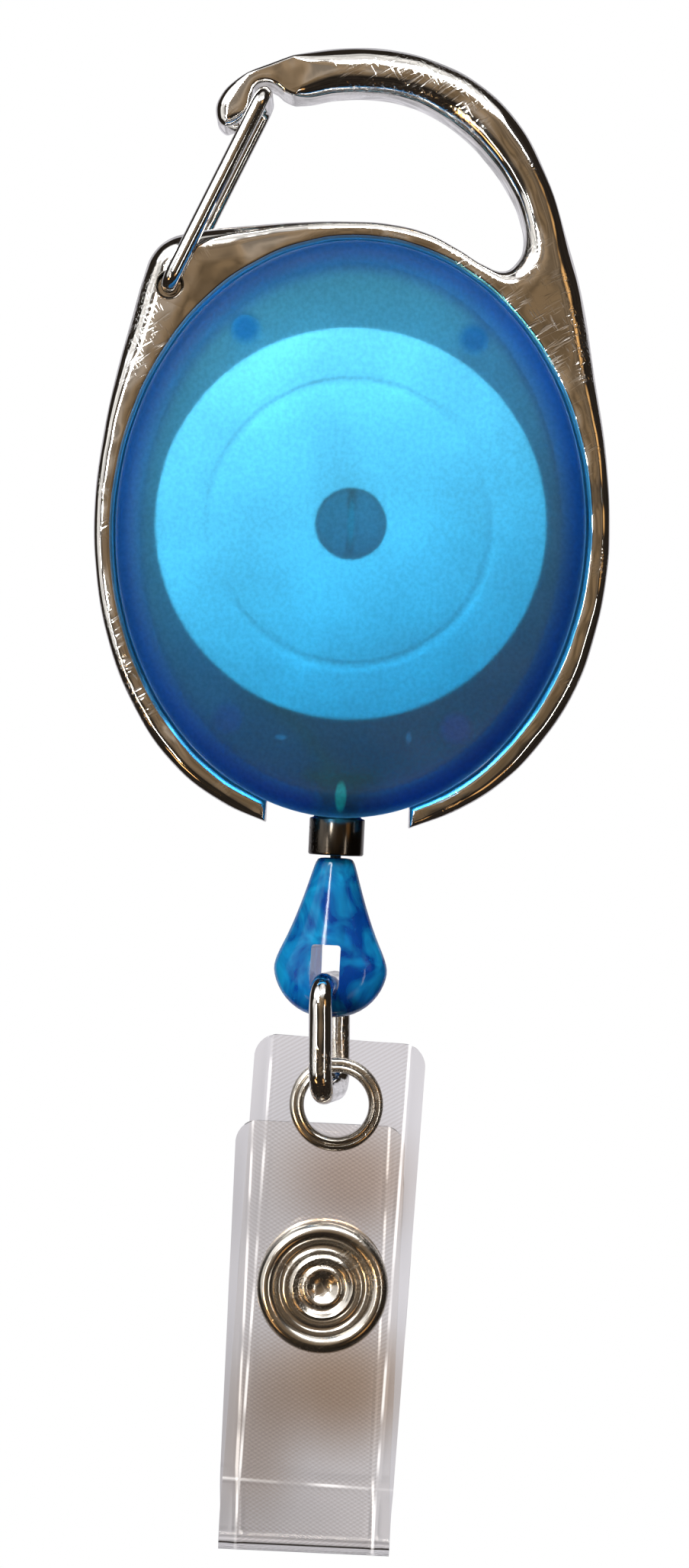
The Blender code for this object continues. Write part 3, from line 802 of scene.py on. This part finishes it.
def cord_along(name, path, radius=CORD_R, sides=4, closed=False):
    """A round cord or wire through a list of points in millimetres, as a mesh."""
    curve = bpy.data.curves.new(name, "CURVE")
    curve.dimensions = "3D"
    curve.bevel_depth = radius * MM
    curve.bevel_resolution = sides
    curve.use_fill_caps = True
    spline = curve.splines.new("POLY")
    spline.points.add(len(path) - 1)
    spline.use_cyclic_u = closed
    for point, (x, y, z) in zip(spline.points, path):
        point.co = (*place(x, y, z), 1)
    mesh = curve_mesh(curve)
    bm = bmesh.new()
    bm.from_mesh(mesh)
    bmesh.ops.remove_doubles(bm, verts=bm.verts, dist=1e-6)
    bmesh.ops.recalc_face_normals(bm, faces=bm.faces)
    bm.to_mesh(mesh)
    bm.free()
    mesh.name = name
    return new_object(name, mesh)


def winding_place(turn):
    """Radius and y of the wound cord after this many turns, in layers that go to and fro."""
    whole = min(int(turn), COLUMNS * ROWS - 1)
    part = smooth_step(0.8, 1.0, turn - whole)
    places = []
    for k in (whole, whole + 1):
        row, column = divmod(k, COLUMNS)
        if row % 2:
            column = COLUMNS - 1 - column
        places.append((DRUM_R + 0.75 + CORD_PITCH * row, -1.55 + CORD_PITCH * column))
    (r0, y0), (r1, y1) = places
    return r0 + (r1 - r0) * part, y0 + (y1 - y0) * part


last_r, last_y = winding_place(COLUMNS * ROWS)
leave = -QUARTER + math.acos(last_r / (AXLE[1] - EXIT_Z))
turns = COLUMNS * ROWS
path = []
for i in range(turns * TURN_STEPS + 1):
    turn = i / TURN_STEPS
    r, y = winding_place(turn)
    t = leave - 2 * math.pi * (turn - turns)
    path.append((-r * math.cos(t), y, AXLE[1] + r * math.sin(t)))
wound = cord_along("cord_wound", path, CORD_R + 0.03, 2)
dress(wound, nylon, ["cord_winding"], "spool", 60)

TAIL_TOP = EXIT_Z - 2.4
TAIL_END = -26.1
off = Vector(path[-1])
low = Vector((0, 0, EXIT_Z))
run = [off + (low - off) * 0.02]
for i in range(1, 25):
    t = i / 24
    bend = off.lerp(low, t).lerp(low.lerp(Vector((0, 0, TAIL_TOP)), t), smooth_step(0.55, 1, t))
    bend.y = last_y * (1 - smooth_step(0.4, 0.95, t))
    run.append(bend)
cord_run = cord_along("cord_inside", run)
dress(cord_run, nylon, ["cord_run"], "case", 60)

tail = [(0, 0, TAIL_TOP + (TAIL_END - TAIL_TOP) * i / 60) for i in range(61)]
cord_tail = cord_along("cord_drawn", tail)
dress(cord_tail, nylon, ["cord_tail"], None, 60)
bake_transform(cord_tail)

KNOT_TOP = -26.2
KNOT_DEPTH = 2.3
KNOT_TURNS = 2.5
KNOT_R = 0.32
KNOT_STEPS = 72
knot_path = []
for i in range(KNOT_STEPS + 1):
    t = 2 * math.pi * KNOT_TURNS * i / KNOT_STEPS
    down = KNOT_TOP - KNOT_DEPTH * i / KNOT_STEPS
    knot_path.append((KNOT_R * math.cos(t), KNOT_R * math.sin(t), down))
knot = cord_along("cord_knot_tied", knot_path, 0.34, 3)
dress(knot, nylon, ["cord_knot"], "cord_end", 60)


# ---------------------------------------------------------------- wire gate
# One length of plated spring wire bent into a loop. Its two ends turn in under the holes of the
# frame's corner, and its closed end rests behind the lip of the hook's nose.

GATE_TIP = (-7.8, 31.7)
GATE_LEG_Y = 3.65


def rounded_path(corners, radius, closed=False, steps=12):
    """A line through the corners, each one turned by an arc."""
    corners = [Vector(c) for c in corners]
    count = len(corners)
    line = [] if closed else [corners[0]]
    for i in range(count) if closed else range(1, count - 1):
        here = corners[i]
        back = (corners[i - 1] - here).normalized()
        ahead = (corners[(i + 1) % count] - here).normalized()
        half = back.angle(ahead) / 2
        centre = here + (back + ahead).normalized() * radius / math.sin(half)
        start = here + back * radius / math.tan(half) - centre
        for k in range(steps + 1):
            spin = Quaternion(ahead.cross(back), (math.pi - 2 * half) * k / steps)
            line.append(centre + spin @ start)
    if not closed:
        line.append(corners[-1])
    return line


gate_chrome = metal("gate_chrome", (0.80, 0.79, 0.77), 0.08, 0.05, 0.3, 0.2)
GATE_BEND = 1.1
(foot_x, foot_z), (tip_x, tip_z) = GATE_PIVOT, GATE_TIP
corners = [
    (foot_x, -1.3, foot_z), (foot_x, -GATE_LEG_Y, foot_z), (tip_x, -GATE_LEG_Y, tip_z),
    (tip_x, GATE_LEG_Y, tip_z), (foot_x, GATE_LEG_Y, foot_z), (foot_x, 1.3, foot_z),
]
gate = cord_along("gate_loop", rounded_path(corners, GATE_BEND), GATE_WIRE_R, 8)
dress(gate, gate_chrome, ["gate_wire"], "gate")


# ---------------------------------------------------------------- bead
# Teardrop of clear blue plastic, hollow down the middle for the knot and pierced near its foot
# for the wire link.

EYE_R = 1.1
EYE_TOP_Z = -30.6
EYE_FOOT_Z = -33.4
BEAD_TURN = math.radians(-10)
BEAD_FLAT = 2.7  # half the depth that the bead's round section is pressed towards
LINK_TOP_Z = -33.5
clear_blue = clear_plastic(
    "clear_blue", (0.02, 0.30, 0.68), (0.25, 0.6, 0.85), 0.5, 0.10, 1.30, 900, 0.01
)
tree = clear_blue.node_tree
marble = cloud(tree, add(tree, "TexCoord").outputs["Object"], 330, 3, 1.2)
tone = two_tone(tree, marble, (0.42, (0.002, 0.04, 0.21)), (0.66, (0.008, 0.27, 0.50)))
feed(tree, tree.nodes["Principled BSDF"], {"Base Color": tone})
profile = [
    (0, -24.2), (1.2, -24.2), (1.42, -24.4), (1.75, -25.5), (2.2, -27.0), (2.75, -28.6),
    (3.35, -30.1), (3.9, -31.2), (4.2, -32.0), (4.28, -32.6), (4.1, -33.4), (3.65, -34.3),
    (2.9, -35.15), (1.9, -35.75), (0.9, -36.0), (0, -36.05),
]
bm = spun(profile, (0, 0), 64, False)
rotate(bm, QUARTER, "X")
for vert in bm.verts:
    out = vert.co.xy.length
    vert.co.y *= BEAD_FLAT * math.tanh(abs(out) / BEAD_FLAT) / max(out, 1e-6)
rotate(bm, BEAD_TURN, "Z")
bead = mesh_object("bead_drop", bm)
smooth = bead.modifiers.new("smooth", "SUBSURF")
smooth.levels = 1
smooth.render_levels = 1
settle(bead)
profile = [(0, 22.8), (0.62, 22.8), (0.62, 25.6), (0.9, 25.9), (0.9, 32.5), (0, 32.5)]
bore = spun(profile, (0, 0), 32, False)
rotate(bore, -QUARTER, "X")
combine(bead, "DIFFERENCE", bore)
eye = spun([(0, 4), (EYE_R, 4), (EYE_R, -4), (0, -4)], (0, EYE_FOOT_Z), 48, False)
slot = block((0, 0, (EYE_TOP_Z + EYE_FOOT_Z) / 2), (2 * EYE_R, 7.9, EYE_TOP_Z - EYE_FOOT_Z))
soften(slot, 0.25, 3)
for tool in (eye, slot):
    rotate(tool, BEAD_TURN, "Z")
    combine(bead, "DIFFERENCE", tool)
dress(bead, clear_blue, ["bead"], "bead", 40)


# ---------------------------------------------------------------- wire link
# Chrome-plated wire bent to a narrow loop with its ends butted behind. It hangs in the bead's
# eye, and the strap's eyelet hangs on its lower bend.

LINK_R = 0.85
LINK_HALF = 3.85
LINK_LENGTH = 8.0
LINK_BEND = 1.7
tilt = Matrix.Rotation(BEAD_TURN, 3, "Z") @ Matrix.Rotation(math.radians(-2.5), 3, "Y")
corners = [
    (0, LINK_HALF, -LINK_LENGTH), (0, LINK_HALF, 0), (0, -LINK_HALF, 0),
    (0, -LINK_HALF, -LINK_LENGTH),
]
path = [tilt @ p + Vector((0, 0, LINK_TOP_Z)) for p in rounded_path(corners, LINK_BEND, True)]
link = cord_along("link_loop", path, LINK_R, 10, True)
dress(link, chrome, ["link_ring"], "link")


# ---------------------------------------------------------------- strap
# One length of clear vinyl with a fine slanting thread mesh sealed inside, plain along its
# borders. It is folded at the bottom, and its rear flap comes up behind the front layer.

STRAP_HALF = 6.35
STRAP_THICK = 0.55
STRAP_TOP = -37.6
FOLD_Z = -74.36
FOLD_R = 1.34
FLAP_TOP = -44.1
FLAP_X = -0.15
STRAP_TILT = math.radians(1.65)
EYELET_AT = (0.9, -42.45)
SNAP_AT = (0.5, -56.0)
STRAP_FLAT = 71.2
STRAP_CORNER = 1.7
CELL = 0.42
BORDER = 1.25
BAND = 3.7
# width of the painted highlight lines along the sealed borders
SEAL_GLINT_WIDTH = 0.13
SEAL_RISE = 0.13
WAVE_RISE = 0.26


def layer(z0, z1, y):
    """A flat grid for one layer of the strap, its upper corners rounded off."""
    bm = bmesh.new()
    bmesh.ops.create_grid(
        bm, x_segments=40, y_segments=round((z1 - z0) / CELL), size=0.5,
        matrix=Matrix.Translation((0, y, (z0 + z1) / 2))
        @ Matrix.Rotation(QUARTER, 4, "X")
        @ Matrix.Diagonal((2 * STRAP_HALF, z1 - z0, 1, 1)),
    )
    for side in (-1, 1):
        centre = Vector((side * (STRAP_HALF - STRAP_CORNER), 0, z1 - STRAP_CORNER))
        for k in range(1, 8):
            t = QUARTER * k / 8
            out = Vector((side * math.cos(t), 0, math.sin(t)))
            bmesh.ops.bisect_plane(
                bm, geom=bm.verts[:] + bm.edges[:] + bm.faces[:],
                plane_co=centre + out * STRAP_CORNER, plane_no=out, clear_outer=True,
            )
    return bm


bm = merged([layer(FOLD_Z, STRAP_TOP, 0), layer(FOLD_Z, FLAP_TOP, 2 * FOLD_R)])
hem = [e for e in bm.edges if all(abs(v.co.z - FOLD_Z) < 0.01 and v.co.y < 0.1 for v in e.verts)]
bmesh.ops.spin(
    bm, geom=hem, cent=(0, FOLD_R, FOLD_Z), axis=(1, 0, 0), angle=math.pi, steps=16,
)
bmesh.ops.remove_doubles(bm, verts=bm.verts, dist=0.01)
uv = bm.loops.layers.uv.new("strap")
for face in bm.faces:
    for loop in face.loops:
        x, y, z = loop.vert.co
        if z < FOLD_Z:
            part = math.acos(max(-1, min(1, (FOLD_R - y) / FOLD_R)))
            along = STRAP_TOP - FOLD_Z + FOLD_R * part
        elif y < FOLD_R:
            along = STRAP_TOP - z
        else:
            along = STRAP_TOP - FOLD_Z + math.pi * FOLD_R + z - FOLD_Z
        loop[uv].uv = (x / (2 * STRAP_HALF) + 0.5, along / STRAP_FLAT)
for vert in bm.verts:
    x, y, z = vert.co
    rise = smooth_step(0, 4, z - FOLD_Z)
    if y < FOLD_R:
        angle = STRAP_TILT * rise
        vert.co.x = x * math.cos(angle) + (z - FOLD_Z) * math.sin(angle)
        vert.co.z = FOLD_Z + (z - FOLD_Z) * math.cos(angle) - x * math.sin(angle)
    else:
        vert.co.x = x + FLAP_X * rise
    from_snap = math.hypot(vert.co.x - SNAP_AT[0], vert.co.z - SNAP_AT[1])
    from_eyelet = math.hypot(vert.co.x - EYELET_AT[0], vert.co.z - EYELET_AT[1])
    free = smooth_step(5, 8, from_snap) * smooth_step(3.6, 6, from_eyelet)
    wave = noise.noise(Vector((x * 0.10, y * 0.8, z * 0.13)))
    vert.co.y += WAVE_RISE * wave * free * smooth_step(0, 6, z - FOLD_Z)
    seam = max(
        math.exp(-(((abs(x) - STRAP_HALF + BORDER) / 0.3) ** 2)),
        math.exp(-(((z - FOLD_Z - BAND) / 0.4) ** 2)) if z > FOLD_Z else 0,
    )
    vert.co.y -= SEAL_RISE * seam * free * (1 if y < FOLD_R else -1)
bmesh.ops.recalc_face_normals(bm, faces=bm.faces)
strap = mesh_object("clear_strap", bm)
wall = strap.modifiers.new("wall", "SOLIDIFY")
wall.thickness = STRAP_THICK * MM
wall.offset = 0
wall.use_even_offset = True
settle(strap)
holes = [
    spun([(0, -1), (2.57, -1), (2.57, 1), (0, 1)], EYELET_AT, 48, False),
    spun([(0, -2), (0.93, -2), (0.93, 5), (0, 5)], SNAP_AT, 24, False),
]
combine(strap, "DIFFERENCE", merged(holes))

vinyl = clear_plastic(
    "clear_vinyl", (0.86, 0.82, 0.81), (0.95, 0.94, 0.93), 1, 0.05, 1.33, 300, 0.02
)
tree = vinyl.node_tree
WIDE = 2 * STRAP_HALF
THREAD_GAP = 0.27
flat = add(tree, "UVMap", uv_map="strap").outputs["UV"]
sized = add(tree, "Mapping", {"Vector": flat, "Scale": (WIDE, STRAP_FLAT, 1)}).outputs[0]
turn = {"Vector": sized, "Rotation": (0, 0, math.radians(-57))}
given = {
    "Vector": add(tree, "Mapping", turn).outputs[0], "Scale": 1 / THREAD_GAP / 3.2,
    "Distortion": 0.3, "Detail": 1, "Detail Scale": 0.4,
}
thread = add(tree, "TexWave", given, bands_direction="X").outputs["Fac"]
split = add(tree, "SeparateXYZ", {0: flat}).outputs
outward = maths(tree, "ABSOLUTE", maths(tree, "SUBTRACT", split["X"], 0.5))
inside = ranged(tree, outward, 0.5 - (BORDER - 0.1) / WIDE, 0.5 - (BORDER + 0.1) / WIDE)
woven = maths(tree, "MULTIPLY", thread, inside)
last = blended(tree, woven, (0.97, 0.955, 0.935), (0.86, 0.83, 0.80))
# Painted shadows: soft brownish patches below the eyelet and below the snap, and a fainter painted
# shade low on the left.
for centre, radii, colour in (
    ((2.4, -48.0), (7.0, 5.5), (0.84, 0.77, 0.71)),
    ((2.0, -63.5), (8.0, 6.0), (0.80, 0.71, 0.62)),
    ((-3.8, -67.5), (4.0, 8.0), (0.90, 0.86, 0.82)),
):
    last = blended(tree, oval_mask(tree, centre, radii, 1.1, 0.1), last, colour, "MULTIPLY")
# Painted highlight: thin white lines along the sealed borders and along the top of the band above the
# fold, standing in for glints off the sealed ridges, stronger in patches.
edges = 0
for source, line_at, length in (
    (outward, 0.5 - BORDER / WIDE, WIDE),
    (split["Y"], (STRAP_TOP - FOLD_Z - BAND) / STRAP_FLAT, STRAP_FLAT),
):
    near = maths(tree, "ABSOLUTE", maths(tree, "SUBTRACT", source, line_at))
    width = SEAL_GLINT_WIDTH / length
    edges = maths(tree, "MAXIMUM", edges, ranged(tree, near, width, width * 0.4))
strong = ranged(tree, cloud(tree, sized, 0.3, 0), 0.40, 0.62, 0.06, 0.50)
painted_seal_glint = maths(tree, "MULTIPLY", edges, strong)
# The painted highlight lines are whitened in the base colour and glow faintly through the emission.
given = {
    "Base Color": blended(tree, painted_seal_glint, last, (1, 1, 1)),
    "Emission Color": scaled(tree, (1.0, 0.97, 0.94), painted_seal_glint), "Emission Strength": 0.7,
}
feed(tree, tree.nodes["Principled BSDF"], given)
dress(strap, vinyl, ["strap_front", "strap_fold", "strap_flap"], None, 40)
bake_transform(strap)


# ---------------------------------------------------------------- eyelet
# Nickel-plated brass eyelet pressed through the front layer: a domed flange in front, a barrel,
# and its rim rolled over a flat washer behind.

nickel = metal("nickel_plate", (0.62, 0.58, 0.52), 0.16, 0.08, 0.6, 0.4)
BORE = 2.4
FACE = STRAP_THICK / 2 + 0.02
profile = [
    (BORE, -0.2), (BORE, -0.55), (BORE + 0.1, -0.8), (BORE + 0.27, -0.92), (BORE + 0.42, -0.9),
    (BORE + 0.54, -0.8), (BORE + 0.6, -0.62), (BORE + 0.7, -0.68), (BORE + 0.85, -0.66),
    (BORE + 0.98, -0.56), (BORE + 1.06, -0.42), (BORE + 1.08, -FACE), (BORE + 0.18, -FACE),
    (BORE + 0.18, 0.78), (BORE + 0.55, 0.8), (BORE + 0.66, 0.86), (BORE + 0.55, 0.94),
    (BORE + 0.3, 0.9), (BORE + 0.12, 0.74), (BORE + 0.02, 0.5),
]
bm = spun(profile, EYELET_AT, 80)
eyelet = mesh_object("eyelet_ring", bm)
dress(eyelet, nickel, ["eyelet"], "strap")
profile = [
    (BORE + 0.3, FACE), (BORE + 1.08, FACE), (BORE + 1.05, 0.6), (BORE + 0.6, 0.76),
    (BORE + 0.3, 0.76),
]
bm = spun(profile, EYELET_AT, 80)
soften(bm, 0.05, 2)
washer = mesh_object("eyelet_washer_ring", bm)
dress(washer, nickel, ["eyelet_washer"], "strap")


# ---------------------------------------------------------------- snap fastener
# Four nickel-plated pieces: a ring cap with a rolled rim and a socket on the front layer, a stud
# and a back ring on the flap. The stud springs into the socket when the flap is closed.

SNAP_R = 4.9
profile = [
    (0, -0.42), (0.5, -0.46), (0.85, -0.6), (1.1, -0.84), (1.3, -0.92), (1.5, -0.84), (1.66, -0.68),
    (1.82, -0.7), (2.0, -0.92), (2.2, -1.06), (2.42, -0.98), (2.6, -0.72), (2.75, -0.5),
    (3.1, -0.42), (3.35, -0.5), (3.5, -0.8), (3.72, -1.14), (4.05, -1.36), (4.4, -1.34),
    (4.7, -1.1), (4.88, -0.76), (SNAP_R, -0.5), (4.75, -FACE), (0.9, -FACE), (0.9, 0.72),
    (1.4, 0.75), (1.4, 0.93), (0.5, 0.98), (0, 0.98),
]
bm = spun(profile, SNAP_AT, 96, False)
cap = mesh_object("snap_ring_cap", bm)
dress(cap, nickel, ["snap_cap"], "strap", 50)
profile = [
    (1.0, FACE), (3.9, FACE), (4.0, 0.5), (3.95, 1.35), (3.7, 1.62), (3.4, 1.7), (2.6, 1.7),
    (2.25, 1.6), (2.1, 1.4), (2.3, 1.2), (2.3, 0.62), (1.0, 0.6),
]
bm = spun(profile, SNAP_AT, 80)
soften(bm, 0.06, 2)
socket_piece = mesh_object("snap_socket_cup", bm)
dress(socket_piece, nickel, ["snap_socket"], "strap")
NEAR = 2 * FOLD_R - FACE
FAR = 2 * FOLD_R + FACE
profile = [
    (0, NEAR - 1.15), (1.0, NEAR - 1.12), (1.5, NEAR - 0.95), (1.68, NEAR - 0.72), (1.5, NEAR - 0.45),
    (1.6, NEAR - 0.25), (3.4, NEAR - 0.22), (3.6, NEAR - 0.12), (3.6, NEAR), (0.9, NEAR),
    (0.9, FAR + 0.15), (0.5, FAR + 0.2), (0, FAR + 0.2),
]
bm = spun(profile, SNAP_AT, 72, False)
stud = mesh_object("snap_stud_post", bm)
dress(stud, nickel, ["snap_stud"], "flap", 50)
profile = [
    (0.95, FAR + 0.3), (0.95, FAR), (4.6, FAR), (4.8, FAR + 0.15), (4.75, FAR + 0.5), (4.5, FAR + 0.75),
    (4.2, FAR + 0.82), (3.9, FAR + 0.72), (3.6, FAR + 0.45), (3.2, FAR + 0.35), (2.8, FAR + 0.5),
    (2.4, FAR + 0.78), (1.9, FAR + 0.8), (1.5, FAR + 0.6),
]
bm = spun(profile, SNAP_AT, 96)
back_ring = mesh_object("snap_back_rim", bm)
dress(back_ring, nickel, ["snap_back_ring"], "flap", 50)
